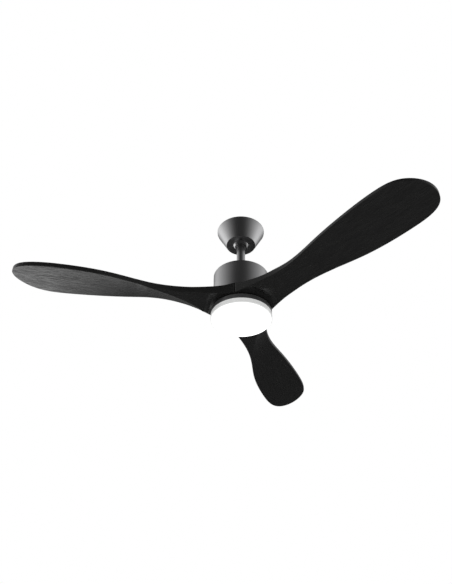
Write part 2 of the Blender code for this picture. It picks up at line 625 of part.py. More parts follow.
def blade_bmesh():
    """Loft a blade along +X: polar rows over the hub that ease into straight rows across."""
    lead, trail = blade_edges()
    columns = 10
    gap_half = GAP / 2
    rows = []
    for r in (HUB_BORE_R, 50.0, HUB_SEAM_R):
        edge = radians(60) - atan2(gap_half, r)
        turns = [radians(HUB_SEAM_DEG) - edge + 2 * edge * i / columns for i in range(columns + 1)]
        rows.append([(r * cos(a), r * sin(a)) for a in turns])
    bow_r = HUB_SEAM_R - lead[0][0]
    stations = [58, 80, 104, 128, 155, 190, 230, 270, 310, 360, 420, 480, 530, 570, 602, 628,
                648, 660, 665.4]
    for x in stations:
        low = np.interp(x, lead[:, 0], lead[:, 1])
        high = np.interp(x, trail[:, 0], trail[:, 1])
        bow = bow_r * max(0.0, 1 - (x - lead[0][0]) / 85) ** 1.5
        rows.append([(x + bow * 4 * s * (1 - s), low + (high - low) * s)
                     for s in (i / columns for i in range(columns + 1))])
    bm = bmesh.new()
    skins = []
    for row in rows:
        pairs = []
        for x, y in row:
            pairs.append(blade_heights(x, y, chord_edge(lead, x), chord_edge(trail, x)))
        low = [bm.verts.new((x, y, z[0])) for (x, y), z in zip(row, pairs)]
        top = [bm.verts.new((x, y, z[1])) for (x, y), z in zip(row, pairs)]
        skins.append(low + top[::-1])
    for ring, after in zip(skins, skins[1:]):
        for i in range(len(ring)):
            j = (i + 1) % len(ring)
            bm.faces.new((ring[i], ring[j], after[j], after[i]))
    bm.faces.new(skins[0][::-1])
    bm.faces.new(skins[-1])
    bmesh.ops.triangulate(bm, faces=bm.faces)
    return bm


def build_blades(cup, gasket, plate, plate_low):
    for k in range(BLADE_COUNT):
        turn_deg = FIRST_BLADE_DEG + 360 * k / BLADE_COUNT
        bm = blade_bmesh()
        bmesh.ops.rotate(bm, matrix=Matrix.Rotation(radians(turn_deg), 3, "Z"), verts=bm.verts)
        blade = make_object(f"blade_{k + 1}", bm, WOOD, spin)
        for j, side in enumerate((-1, 1), 1):
            x, y = around(BOLT_R, turn_deg + side * BOLT_DEG)
            for piece in (cup, gasket, plate, blade):
                hole = rod_bmesh(2.7, 60, (x, y, -288), (0, 0, 1), SMALL)
                cut(piece, hole)
            screw(f"blade_screw_{2 * k + j}", spin, (x, y, plate_low - GAP), (0, 0, -1),
                  4.6, 2.8, 2.4, 41.5)


# ---------------------------------------------------------------- light
def harness_route():
    """Down the rod beside both pins, through the shaft, then round and up to the LED board."""
    aside = 6.4
    points = []
    for z in (-27, -38, -60, -85, -110, -135, -155, -165, -171, -175, -179, -184, -215, -255, -295):
        shift = eased([-400, -184, -171, 0], [0, 0, aside, aside], z)
        turn = radians(eased([-400, -140, -60, 0], [90, 90, 0, 0], z))
        points.append((shift * cos(turn), shift * sin(turn), z))
    bend, low, far = 6.0, -340.0, 27.0
    for a in (0, pi / 6, pi / 3, pi / 2):
        points.append((bend - bend * cos(a), 0, low + bend - bend * sin(a)))
    for a in (0, pi / 6, pi / 3, pi / 2):
        points.append((far - bend + bend * sin(a), 0, low + bend - bend * cos(a)))
    return points + [(far, 0, -332.0)]


def build_light():
    bore = SHAFT_R + GAP
    top, low, wall = PAN_TOP_Z, PAN_BOTTOM_Z, 2.0
    plate_low = top - 1.6
    inner_r = LIGHT_R - wall
    pan = turned("light_pan", PAINT, tilt,
                 [(bore, top), (LIGHT_R - 1.2, top), (LIGHT_R, top - 1.2), (LIGHT_R, low),
                  (inner_r, low), (inner_r, plate_low), (bore, plate_low)], SHELL)
    board_top, board_low = -330.0, -331.6
    for turn_deg in TAB_TURNS:
        join(pan, prism_bmesh(sector(88.4, 90.6, turn_deg, LUG_DEG), -336.2, -333.8))
    for number, turn_deg in enumerate((0, 120, 240), 1):
        x, y = around(62.0, turn_deg)
        join(pan, rod_bmesh(4.0, 5.4, (x, y, plate_low + 0.5 - 2.7), (0, 0, 1)))
        cut(pan, rod_bmesh(1.9, 6, (x, y, -329.0), (0, 0, 1), SMALL))
        screw(f"led_screw_{number}", tilt, (x, y, board_low - GAP), (0, 0, -1), 3.2, 1.8, 1.6, 5.0)
    board = turned("led_board", BOARD, tilt,
                   [(20, board_top), (78, board_top), (78, board_low), (20, board_low)])
    for turn_deg in (0, 120, 240):
        x, y = around(62.0, turn_deg)
        cut(board, rod_bmesh(1.9, 6, (x, y, board_top), (0, 0, 1), SMALL))
    turned("shaft_washer", STEEL, tilt,
           [(bore, plate_low - GAP), (17, plate_low - GAP), (17, plate_low - 1.5),
            (bore, plate_low - 1.5)], SLIM)
    nut = make_object("shaft_nut", prism_bmesh(arc(17.0, 0, 300, 5), -333.0, plate_low - 1.8),
                      STEEL, tilt)
    cut(nut, rod_bmesh(bore, 30, (0, 0, -330), (0, 0, 1), SLIM))
    pipe("wire_harness", CABLE, tilt, harness_route(), 2.5)



def build_shade():
    """An opal cup whose neck turns inside the pan on three lugs."""
    top, shoulder, low = -331.0, PAN_BOTTOM_Z - GAP, SHADE_BOTTOM_Z
    neck_r, neck_in, wall_in = 88.0, 85.8, LIGHT_R - 2.2
    edge = 3.2
    corner = [(LIGHT_R - edge + edge * sin(a), low + edge - edge * cos(a))
              for a in (0, pi / 4, pi / 2)]
    shade = turned("shade", OPAL, twist,
                   [(0, low)] + corner
                   + [(LIGHT_R, shoulder), (neck_r, shoulder), (neck_r, top), (neck_in, top),
                      (neck_in, shoulder - 2.0), (wall_in, shoulder - 2.0),
                      (wall_in, low + edge), (wall_in - 1.2, low + 2.2), (0, low + 2.2)], SHELL)
    for turn_deg in TAB_TURNS:
        join(shade, prism_bmesh(sector(87.2, 89.2, turn_deg, LUG_DEG), -333.4, top))


# ---------------------------------------------------------------- build
for old in list(bpy.data.objects):
    bpy.data.objects.remove(old, do_unlink=True)
materials = {name: make_material(name) for name in FINISHES}

mount = empty("ceiling_mount_frame", 0)
tilt = empty("hanger_tilt_axis", BALL_Z)
spin = empty("rotor_spin_axis", BLADE_ROOT_Z, tilt)
twist = empty("shade_twist_axis", PAN_BOTTOM_Z, tilt)
bpy.context.view_layer.update()

build_bracket()
build_canopy()
build_wiring()
build_ball()
build_rod()
build_yoke()
build_housing()
build_shaft()
build_stator()
build_blades(*build_rotor())
build_light()
build_shade()
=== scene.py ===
"""Looks of the three-blade ceiling fan with a round light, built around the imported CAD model."""
import json
from math import atan2, cos, pi, radians, sin, sqrt, tan

import bmesh
import bpy
import numpy as np
from mathutils import Matrix, Vector


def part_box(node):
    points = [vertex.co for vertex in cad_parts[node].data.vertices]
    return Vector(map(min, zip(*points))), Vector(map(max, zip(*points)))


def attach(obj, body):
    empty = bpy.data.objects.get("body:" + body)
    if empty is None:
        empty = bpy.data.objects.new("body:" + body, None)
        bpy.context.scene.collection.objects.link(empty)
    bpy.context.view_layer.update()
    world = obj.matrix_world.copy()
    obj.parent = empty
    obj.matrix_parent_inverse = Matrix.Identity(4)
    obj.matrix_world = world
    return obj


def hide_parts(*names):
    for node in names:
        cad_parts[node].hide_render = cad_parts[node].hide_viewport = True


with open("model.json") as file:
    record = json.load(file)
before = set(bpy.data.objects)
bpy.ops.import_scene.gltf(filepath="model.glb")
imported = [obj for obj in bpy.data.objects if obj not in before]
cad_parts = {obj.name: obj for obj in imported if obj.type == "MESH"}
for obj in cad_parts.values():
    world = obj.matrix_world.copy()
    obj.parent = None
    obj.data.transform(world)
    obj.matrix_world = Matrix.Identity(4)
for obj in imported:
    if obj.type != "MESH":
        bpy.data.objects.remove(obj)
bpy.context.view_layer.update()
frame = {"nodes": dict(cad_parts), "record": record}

MM = 0.001
ROUND = 160                    # segments of a large turned piece
SMALL = 96                     # segments of a rod or a sleeve
NOTHING = 1e-6                 # lengths below this count as none

# ---------------------------------------------------------------- camera
CAMERA_AT = (0.0, -1.517, -1.4097)
CAMERA_PITCH = radians(37.09)
CAMERA_YAW = radians(-1.02)
CAMERA_ROLL = radians(0.18)
LENS = 38.354                  # for a 36 mm sensor along the picture's long side
SHIFT = (-0.0109, 0.0065)


def build_camera():
    forward = Vector((sin(CAMERA_YAW) * cos(CAMERA_PITCH), cos(CAMERA_YAW) * cos(CAMERA_PITCH),
                      sin(CAMERA_PITCH)))
    right = Vector((cos(CAMERA_YAW), -sin(CAMERA_YAW), 0))
    up = right.cross(forward)
    c, s = cos(CAMERA_ROLL), sin(CAMERA_ROLL)
    right, up = right * c + up * s, up * c - right * s
    data = bpy.data.cameras.new("camera")
    data.lens = LENS
    data.shift_x, data.shift_y = SHIFT
    camera = bpy.data.objects.new("camera", data)
    bpy.context.scene.collection.objects.link(camera)
    turn = Matrix((right, up, -forward)).transposed().to_4x4()
    camera.matrix_world = Matrix.Translation(CAMERA_AT) @ turn
    bpy.context.scene.camera = camera


# ---------------------------------------------------------------- node helpers
class Nodes:
    """Short calls for building a node tree."""

    def __init__(self, tree):
        self.tree = tree

    def add(self, kind, inputs=None, **settings):
        node = self.tree.nodes.new(kind)
        for key, value in settings.items():
            setattr(node, key, value)
        for key, value in (inputs or {}).items():
            self.put(node.inputs[key], value)
        return node

    def put(self, socket, value):
        if isinstance(value, bpy.types.NodeSocket):
            self.tree.links.new(value, socket)
        else:
            socket.default_value = value

    def math(self, operation, a, b=0.0):
        return self.add("ShaderNodeMath", {0: a, 1: b}, operation=operation).outputs[0]

    def length(self, x, y):
        squares = (self.math("MULTIPLY", part, part) for part in (x, y))
        return self.math("SQRT", self.math("ADD", *squares))

    def linear(self, value, low, high, new_low=0.0, new_high=1.0, kind="LINEAR"):
        node = self.add("ShaderNodeMapRange", {"Value": value, "From Min": low, "From Max": high,
                                               "To Min": new_low, "To Max": new_high},
                        interpolation_type=kind)
        return node.outputs["Result"]

    def spread(self, value, low, high, new_low=0.0, new_high=1.0):
        return self.linear(value, low, high, new_low, new_high, "SMOOTHSTEP")

    def ramp(self, value, stops):
        node = self.add("ShaderNodeValToRGB", {"Fac": value})
        ramp = node.color_ramp
        while len(ramp.elements) < len(stops):
            ramp.elements.new(0.5)
        for element, (at, level) in zip(ramp.elements, stops):
            element.position = at
            element.color = rgba(level)
        ramp.interpolation = "LINEAR"
        return node.outputs["Color"]

    def noise(self, vector, scale, detail=3.0, roughness=0.5, stretch=(1, 1, 1)):
        if stretch != (1, 1, 1):
            vector = self.add("ShaderNodeMapping", {"Vector": vector, "Scale": stretch}).outputs[0]
        node = self.add("ShaderNodeTexNoise", {"Vector": vector, "Scale": scale, "Detail": detail,
                                               "Roughness": roughness})
        return node.outputs["Fac"]

    def mix(self, factor, a, b):
        node = self.add("ShaderNodeMix", data_type="RGBA")
        self.put(node.inputs["Factor"], factor)
        self.put(node.inputs["A"], a)
        self.put(node.inputs["B"], b)
        return node.outputs["Result"]

    def bump(self, height, strength, distance, normal=None):
        inputs = {"Height": height, "Strength": strength, "Distance": distance}
        if normal:
            inputs["Normal"] = normal
        return self.add("ShaderNodeBump", inputs).outputs["Normal"]


def new_material(name):
    made = bpy.data.materials.new(name)
    made.use_nodes = True
    nodes = Nodes(made.node_tree)
    shader = made.node_tree.nodes["Principled BSDF"]
    place = nodes.add("ShaderNodeTexCoord").outputs["Object"]
    return made, nodes, shader, place


def rgba(level, tint=(1.0, 1.0, 1.0)):
    return (level * tint[0], level * tint[1], level * tint[2], 1.0)


# ---------------------------------------------------------------- materials
def satin_paint(name):
    """Graphite metallic paint: fine flake under a satin coat, with a faint orange peel."""
    made, nodes, shader, place = new_material(name)
    cool = (1.0, 1.0, 1.01)
    flake = nodes.noise(place, 2600.0, 2.0)
    tone = nodes.math("ADD", nodes.math("MULTIPLY", flake, 0.10), 0.45)
    nodes.put(shader.inputs["Base Color"], nodes.mix(tone, rgba(0.45, cool), rgba(0.55, cool)))
    shader.inputs["Metallic"].default_value = 1.0
    cloud = nodes.noise(place, 22.0, 3.0)
    nodes.put(shader.inputs["Roughness"], nodes.spread(cloud, 0.3, 0.7, 0.30, 0.35))
    peel = nodes.noise(place, 520.0, 1.0)
    nodes.put(shader.inputs["Normal"], nodes.bump(peel, strength=0.05, distance=0.0004))
    return made


def black_wood(name, azimuth):
    """Satin black stain over open-grained wood, with the grain running along the blade."""
    made, nodes, shader, place = new_material(name)
    place = nodes.add("ShaderNodeVectorRotate", {"Vector": place, "Angle": -azimuth},
                      rotation_type="Z_AXIS").outputs[0]
    wander = nodes.math("MULTIPLY", nodes.noise(place, 5.0, 2.0), 0.012)
    sideways = nodes.add("ShaderNodeCombineXYZ", {"Y": wander}).outputs[0]
    route = nodes.add("ShaderNodeVectorMath", {0: place, 1: sideways}, operation="ADD").outputs[0]
    pores = nodes.noise(route, 330.0, 3.0, 0.6, stretch=(0.085, 1.0, 1.0))
    bands = nodes.noise(route, 70.0, 2.0, 0.5, stretch=(0.06, 1.0, 1.0))
    figure = nodes.math("ADD", nodes.math("MULTIPLY", pores, 0.85),
                        nodes.math("MULTIPLY", bands, 0.15))
    grain = nodes.spread(figure, 0.36, 0.64)
    colour = nodes.mix(grain, rgba(0.0084), rgba(0.0124, (1.0, 0.99, 0.98)))
    nodes.put(shader.inputs["Base Color"], colour)
    nodes.put(shader.inputs["Roughness"], nodes.linear(grain, 0.0, 1.0, 0.42, 0.22))
    shader.inputs["Specular IOR Level"].default_value = 0.5
    nodes.put(shader.inputs["Normal"], nodes.bump(figure, strength=0.36, distance=0.0009))
    return made


FACE_GLOW = 1.6
WALL_GLOW_TOP, WALL_GLOW_LOW = 0.23, 0.13


def opal(name, disc_radius, low_z, wall_top_z):
    """Opal acrylic lit from inside: the flat face glows white and the side wall only faintly."""
    made, nodes, shader, place = new_material(name)
    parts = nodes.add("ShaderNodeSeparateXYZ", {"Vector": place})
    x, y, z = (parts.outputs[k] for k in ("X", "Y", "Z"))
    radius = nodes.length(x, y)
    face = nodes.math("MULTIPLY", nodes.spread(radius, disc_radius, disc_radius - 0.004),
                      nodes.spread(z, low_z + 0.0030, low_z + 0.0004))
    wall = nodes.linear(z, wall_top_z, low_z, WALL_GLOW_TOP, WALL_GLOW_LOW)
    mottle = nodes.noise(place, 60.0, 2.0)
    glow = nodes.math("ADD", nodes.math("MULTIPLY", face, FACE_GLOW), wall)
    glow = nodes.math("MULTIPLY", glow, nodes.spread(mottle, 0.2, 0.8, 0.985, 1.015))
    shader.inputs["Base Color"].default_value = (0.66, 0.665, 0.66, 1.0)
    shader.inputs["Emission Color"].default_value = (1.0, 1.0, 0.995, 1.0)
    nodes.put(shader.inputs["Emission Strength"], glow)
    nodes.put(shader.inputs["Roughness"], nodes.spread(mottle, 0.3, 0.7, 0.28, 0.36))
    shader.inputs["Specular IOR Level"].default_value = 1.0
    nodes.put(shader.inputs["Normal"], nodes.bump(nodes.noise(place, 900.0, 2.0), 0.03, 0.0002))
    return made


def metal(name, colour, rough, stretch=(1, 1, 1), scale=400.0, bump=0.08):
    """Bare metal with a directional or an even fine finish."""
    made, nodes, shader, place = new_material(name)
    fine = nodes.noise(place, scale, 4.0, 0.6, stretch)
    cloud = nodes.noise(place, 30.0, 3.0)
    dark = tuple(c * 0.82 for c in colour) + (1.0,)
    nodes.put(shader.inputs["Base Color"],
              nodes.mix(nodes.spread(cloud, 0.3, 0.7), dark, colour + (1.0,)))
    shader.inputs["Metallic"].default_value = 1.0
    nodes.put(shader.inputs["Roughness"],
              nodes.spread(fine, 0.25, 0.75, rough - 0.06, rough + 0.08))
    nodes.put(shader.inputs["Normal"], nodes.bump(fine, bump, 0.0003))
    return made


def moulded(name, colour, rough, scale=700.0, bump=0.10, sheen=0.5):
    """Moulded plastic or rubber with a fine spark-eroded texture."""
    made, nodes, shader, place = new_material(name)
    fine = nodes.noise(place, scale, 2.0, 0.6)
    cloud = nodes.noise(place, 40.0, 3.0)
    dark = tuple(c * 0.8 for c in colour) + (1.0,)
    nodes.put(shader.inputs["Base Color"],
              nodes.mix(nodes.spread(cloud, 0.3, 0.7), dark, colour + (1.0,)))
    nodes.put(shader.inputs["Roughness"], nodes.spread(fine, 0.3, 0.7, rough - 0.05, rough + 0.07))
    shader.inputs["Specular IOR Level"].default_value = sheen
    nodes.put(shader.inputs["Normal"], nodes.bump(fine, bump, 0.0002))
    return made


def striped(name, colour, rough, pitch):
    """Stacked sheets or wound wire: fine bands at a fixed pitch up the axis."""
    made, nodes, shader, place = new_material(name)
    wave = nodes.add("ShaderNodeTexWave", {"Vector": place, "Scale": 1.0 / (pitch * 20.0),
                                           "Distortion": 0.4, "Detail": 1.0},
                     wave_type="BANDS", bands_direction="Z").outputs["Fac"]
    dark = tuple(c * 0.55 for c in colour) + (1.0,)
    nodes.put(shader.inputs["Base Color"], nodes.mix(wave, dark, colour + (1.0,)))
    shader.inputs["Metallic"].default_value = 1.0
    nodes.put(shader.inputs["Roughness"], nodes.spread(wave, 0.0, 1.0, rough + 0.1, rough))
    nodes.put(shader.inputs["Normal"], nodes.bump(wave, 0.4, 0.0003))
    return made


def diode_board(name):
    """White solder mask with rings of small yellow diodes."""
    made, nodes, shader, place = new_material(name)
    cells = nodes.add("ShaderNodeTexVoronoi", {"Vector": place, "Scale": 85.0, "Randomness": 0.15},
                      feature="F1", distance="CHEBYCHEV", voronoi_dimensions="2D")
    chip = nodes.spread(cells.outputs["Distance"], 0.22, 0.18)
    grime = nodes.noise(place, 200.0, 3.0)
    mask = nodes.mix(nodes.spread(grime, 0.3, 0.7), rgba(0.80), rgba(0.88))
    nodes.put(shader.inputs["Base Color"], nodes.mix(chip, mask, (0.85, 0.62, 0.12, 1.0)))
    nodes.put(shader.inputs["Roughness"], nodes.spread(chip, 0.0, 1.0, 0.45, 0.25))
    nodes.put(shader.inputs["Normal"], nodes.bump(chip, 0.4, 0.0004))
    return made


# ---------------------------------------------------------------- mesh helpers
def finish_mesh(name, bm, finish, body, replaced, angle=40):
    """Turn a bmesh drawn in millimetres into a piece that rides on a body."""
    bmesh.ops.scale(bm, vec=(MM, MM, MM), verts=bm.verts)
    bmesh.ops.recalc_face_normals(bm, faces=bm.faces)
    mesh = bpy.data.meshes.new(name)
    bm.to_mesh(mesh)
    bm.free()
    mesh.materials.append(finish)
    mesh.shade_smooth()
    mesh.set_sharp_from_angle(angle=radians(angle))
    return add_piece(name, mesh, body, replaced)


def add_piece(name, mesh, body, replaced):
    made = bpy.data.objects.new(name, mesh)
    bpy.context.scene.collection.objects.link(made)
    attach(made, body)
    for node in replaced:
        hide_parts(node)
    return made


def filleted(corners, steps=5):
    """Round a profile's corners. Each corner is (radius, z) or (radius, z, fillet)."""
    points = [Vector(c[:2]) for c in corners]
    rounds = [c[2] if len(c) > 2 else 0.0 for c in corners]
    made = []
    count = len(points)
    for i, (p, size) in enumerate(zip(points, rounds)):
        before, after = points[i - 1] - p, points[(i + 1) % count] - p
        if size <= 0 or before.length < NOTHING or after.length < NOTHING:
            made.append(tuple(p))
            continue
        a, b = before.normalized(), after.normalized()
        half = a.angle(b) / 2
        reach = min(size / tan(half), before.length * 0.49, after.length * 0.49)
        size = reach * tan(half)
        middle = p + (a + b).normalized() * (size / sin(half))
        start, end = p + a * reach - middle, p + b * reach - middle
        sweep = start.angle_signed(end)
        for k in range(steps + 1):
            c, s = cos(-sweep * k / steps), sin(-sweep * k / steps)
            made.append((middle.x + start.x * c - start.y * s,
                         middle.y + start.x * s + start.y * c))
    return made


def lathe(profile, segments=ROUND):
    """Turn a profile about Z. It is a closed ring unless it starts and ends on the axis."""
    bm = bmesh.new()
    turns = [2 * pi * k / segments for k in range(segments)]
    rings = []
    for r, z in profile:
        if r < NOTHING:
            rings.append([bm.verts.new((0, 0, z))])
            continue
        rings.append([bm.verts.new((r * cos(a), r * sin(a), z)) for a in turns])
    pairs = list(zip(rings, rings[1:]))
    if len(rings[0]) > 1:
        pairs.append((rings[-1], rings[0]))
    for low, high in pairs:
        for k in range(segments):
            j = (k + 1) % segments
            if len(low) == 1:
                bm.faces.new((low[0], high[k], high[j]))
            elif len(high) == 1:
                bm.faces.new((low[k], high[0], low[j]))
            else:
                bm.faces.new((low[k], high[k], high[j], low[j]))
    return bm


def block(low, high):
    bm = bmesh.new()
    bmesh.ops.create_cube(bm, size=1.0)
    size = [b - a for a, b in zip(low, high)]
    middle = [(a + b) / 2 for a, b in zip(low, high)]
    bmesh.ops.scale(bm, vec=size, verts=bm.verts)
    bmesh.ops.translate(bm, vec=middle, verts=bm.verts)
    return bm


def rod(radius, length, centre, axis, segments=32):
    bm = bmesh.new()
    turn = Vector((0, 0, 1)).rotation_difference(Vector(axis)).to_matrix().to_4x4()
    bmesh.ops.create_cone(bm, cap_ends=True, segments=segments, radius1=radius, radius2=radius,
                          depth=length, matrix=Matrix.Translation(centre) @ turn)
    return bm


def combined(bm, tools):
    """Apply Boolean cuts and joins, all in millimetres, and return a new bmesh."""
    mesh = bpy.data.meshes.new("work")
    bm.to_mesh(mesh)
    bm.free()
    base = bpy.data.objects.new("work", mesh)
    bpy.context.scene.collection.objects.link(base)
    spent = [base]
    for operation, tool_bm in tools:
        tool_mesh = bpy.data.meshes.new("tool")
        tool_bm.to_mesh(tool_mesh)
        tool_bm.free()
        tool = bpy.data.objects.new("tool", tool_mesh)
        bpy.context.scene.collection.objects.link(tool)
        spent.append(tool)
        change = base.modifiers.new("change", "BOOLEAN")
        change.operation = operation
        change.solver = "EXACT"
        change.object = tool
    graph = bpy.context.evaluated_depsgraph_get()
    result = bmesh.new()
    result.from_mesh(base.evaluated_get(graph).to_mesh())
    base.evaluated_get(graph).to_mesh_clear()
    for old in spent:
        old_mesh = old.data
        bpy.data.objects.remove(old)
        bpy.data.meshes.remove(old_mesh)
    return result


def round_about(radius, turn):
    return radius * cos(turn), radius * sin(turn)


def size_of(node):
    """A turned node's outer radius, bottom and top in millimetres."""
    low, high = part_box(node)
    return (high.x - low.x) / 2 / MM, low.z / MM, high.z / MM


# ---------------------------------------------------------------- blades
HUB_BORE_R = 24.0
HUB_SEAM_R = 85.0
HUB_SEAM_TURN = radians(2)     # a blade's seams lie this far round from midway
HUB_FLAT_R = 70.0
HUB_EASE = 25.0
TIP_START = 560.0
TIP_END = 670.0
TIP_HALF_CHORD = 50.0
SEAM_GAP = 0.15                # half the gap between neighbouring blade roots
SEAM_ROUND = 0.35              # rounding of the root's edges
EDGE_ROUND = 1.3               # rounding of the free edges
BLADE_HALF_COLUMNS = 17        # grid columns on each side of the crease
BLADE_ROWS = 160               # grid rows from the hub's rim to the tip
BLADE_TURNS = [radians(74.45 + 120 * k) for k in range(3)]

OUTLINE = [
    (45.0, -72.1), (133.0, -44.8), (229.6, -34.0), (337.7, -53.1), (446.7, -70.8),
    (544.5, -79.2), (614.5, -66.8), (660.0, -19.4), (660.4, 31.6), (615.6, 61.9),
    (521.8, 72.4), (402.5, 67.9), (277.9, 47.1), (157.4, 48.6), (39.9, 75.1),
]
HEIGHTS = np.array([
    (40.0, -312.5, -278.4, -312.5, -278.4),
    (85.0, -307.9, -282.8, -313.3, -286.8),
    (120.0, -301.0, -284.0, -313.4, -290.1),
    (180.0, -296.0, -279.6, -315.2, -295.1),
    (300.0, -288.9, -279.3, -314.8, -299.4),
    (450.0, -289.2, -279.6, -313.7, -299.5),
    (670.0, -291.5, -280.4, -313.3, -300.0),
])
CREASE = np.array([(96.0, -50.0), (110.0, -37.0), (148.0, -10.0), (198.0, 13.0), (266.0, 37.0),
                   (320.0, 53.0)])
CREASE_Z = -315.7
CREASE_RISE, CREASE_FALL = 14, 30      # lengths over which the crease comes and goes


def spline(points, count):
    """Cubic spline through evenly weighted points, with smooth ends."""
    at = np.array(points, dtype=float)
    n = len(at)
    system = np.zeros((n, n))
    wanted = np.zeros_like(at)
    for i in range(1, n - 1):
        system[i, i - 1:i + 2] = (1, 4, 1)
        wanted[i] = 6 * (at[i - 1] - 2 * at[i] + at[i + 1])
    system[0, :3] = (1, -2, 1)
    system[-1, -3:] = (1, -2, 1)
    bend = np.linalg.solve(system, wanted)
    steps = np.linspace(0, n - 1, count)
    i = np.minimum(steps.astype(int), n - 2)
    t = (steps - i)[:, None]
    a, b, ma, mb = at[i], at[i + 1], bend[i], bend[i + 1]
    return (a * (1 - t) + b * t
            + ((1 - t) ** 3 - (1 - t)) * ma / 6 + (t ** 3 - t) * mb / 6)


def eased(at, v, x):
    """Read values between stations with the slope eased to nothing at turning points."""
    run = np.diff(at)
    rise = np.diff(v) / run
    slope = np.zeros_like(v)
    same = rise[:-1] * rise[1:] > 0
    slope[1:-1][same] = 2 * rise[:-1][same] * rise[1:][same] / (rise[:-1] + rise[1:])[same]
    slope[0], slope[-1] = rise[0], rise[-1]
    x = np.clip(x, at[0], at[-1])
    i = np.clip(np.searchsorted(at, x, side="right") - 1, 0, len(at) - 2)
    t = (x - at[i]) / run[i]
    return ((1 + 2 * t) * (1 - t) ** 2 * v[i] + t * (1 - t) ** 2 * run[i] * slope[i]
            + t * t * (3 - 2 * t) * v[i + 1] + t * t * (t - 1) * run[i] * slope[i + 1])


def blade_edges():
    """Leading and trailing edges as rows of (x, y), root to tip."""
    rim = spline(OUTLINE, count=1600)
    tip = int(np.argmax(rim[:, 0]))
    return rim[:tip + 1], rim[tip:][::-1]


def chord_edge(edge, x):
    """Where the twisted chord ends at a station, eased to a fixed width past the tip's start."""
    y = np.interp(np.minimum(x, TIP_START), edge[:, 0], edge[:, 1])
    on = np.maximum(x - TIP_START, 0.0) / (TIP_END - TIP_START)
    return y + (np.sign(y) * TIP_HALF_CHORD - y) * on


def crease_at(x):
    return eased(CREASE[:, 0], CREASE[:, 1], x)


def blade_heights(x, y, lead, trail):
    """Underside and top of the blade at arrays of points."""
    lead_y, trail_y = chord_edge(lead, x), chord_edge(trail, x)
    lead_low, lead_top, trail_low, trail_top = (eased(HEIGHTS[:, 0], HEIGHTS[:, c], x)
                                                for c in (1, 2, 3, 4))
    across = (y - lead_y) / (trail_y - lead_y)
    level = lead_low + (trail_low - lead_low) * across
    crease_y = np.clip(crease_at(x), lead_y + 1, trail_y - 1)
    outer = lead_low + (CREASE_Z - lead_low) * (y - lead_y) / (crease_y - lead_y)
    inner = CREASE_Z + (trail_low - CREASE_Z) * (y - crease_y) / (trail_y - crease_y)
    fade = np.clip(np.minimum((x - CREASE[0, 0]) / CREASE_RISE,
                              (CREASE[-1, 0] - x) / CREASE_FALL), 0, 1)
    level = level + (np.where(y <= crease_y, outer, inner) - level) * fade
    leave = np.clip((np.hypot(x, y) - HUB_FLAT_R) / HUB_EASE, 0, 1)
    leave = leave * leave * (3 - 2 * leave)
    top = lead_top + (trail_top - lead_top) * across
    root_low, root_top = HEIGHTS[0, 3], HEIGHTS[0, 2]
    return root_low + (level - root_low) * leave, root_top + (top - root_top) * leave


def along(edge, share):
    """Point at a share of an edge's length."""
    step = np.hypot(*np.diff(edge, axis=0).T)
    run = np.concatenate([[0], np.cumsum(step)]) / step.sum()
    return np.array([np.interp(share, run, edge[:, 0]), np.interp(share, run, edge[:, 1])])


def column_shares(split, near):
    """Shares across a row, evenly spaced on each side of a pair that hugs the crease."""
    return np.concatenate([np.linspace(0, split - near, BLADE_HALF_COLUMNS),
                           np.linspace(split + near, 1, BLADE_HALF_COLUMNS)])


def blade_rows(lead, trail):
    """Rows of (x, y) from the hub's bore to the tip, set in from the outline by its rounding."""
    hub_step, least_split, most_split = 4.0, 0.08, 0.93
    first_share, last_share, ahead_share, eased_share = 0.002, 0.9955, 0.002, 0.04
    bow_length, rejoin_length = 85, 120    # the rows straighten, and the crease moves to midway
    rows, rounds = [], []
    for r in np.arange(HUB_BORE_R + SEAM_ROUND, HUB_SEAM_R - 2, hub_step):
        edge = radians(60) - (SEAM_GAP + SEAM_ROUND) / r
        turns = HUB_SEAM_TURN + (column_shares(least_split, 0.004) * 2 - 1) * edge
        rows.append(np.stack([r * np.cos(turns), r * np.sin(turns)], axis=1))
        rounds.append(SEAM_ROUND)
    bow_r = HUB_SEAM_R - lead[0, 0]
    for k in range(BLADE_ROWS + 1):
        share = first_share + (last_share - first_share) * k / BLADE_ROWS
        set_in = SEAM_ROUND + (EDGE_ROUND - SEAM_ROUND) * min(share / eased_share, 1.0)
        ends = []
        for edge, side in ((lead, 1), (trail, -1)):
            here, ahead = along(edge, share), along(edge, min(share + ahead_share, 1.0))
            run = (ahead - here) / np.hypot(*(ahead - here))
            ends.append(here + np.array([-run[1], run[0]]) * side * set_in)
        a, b = ends
        middle_x = (a[0] + b[0]) / 2
        bow = bow_r * max(0.0, 1 - (middle_x - lead[0, 0]) / bow_length) ** 1.5
        split = 0.5
        for _ in range(6):
            x = a[0] + (b[0] - a[0]) * split + bow * 4 * split * (1 - split)
            split = min(max((crease_at(x) - a[1]) / (b[1] - a[1]), least_split), most_split)
        ease = min(max((middle_x - CREASE[-1, 0]) / rejoin_length, 0.0), 1.0)
        split += (0.5 - split) * ease
        near = min(0.7 / (b[1] - a[1]), 0.01)
        s = column_shares(split, near)
        rows.append(np.stack([a[0] + (b[0] - a[0]) * s + bow * 4 * s * (1 - s),
                              a[1] + (b[1] - a[1]) * s], axis=1))
        rounds.append(set_in)
    return rows, rounds


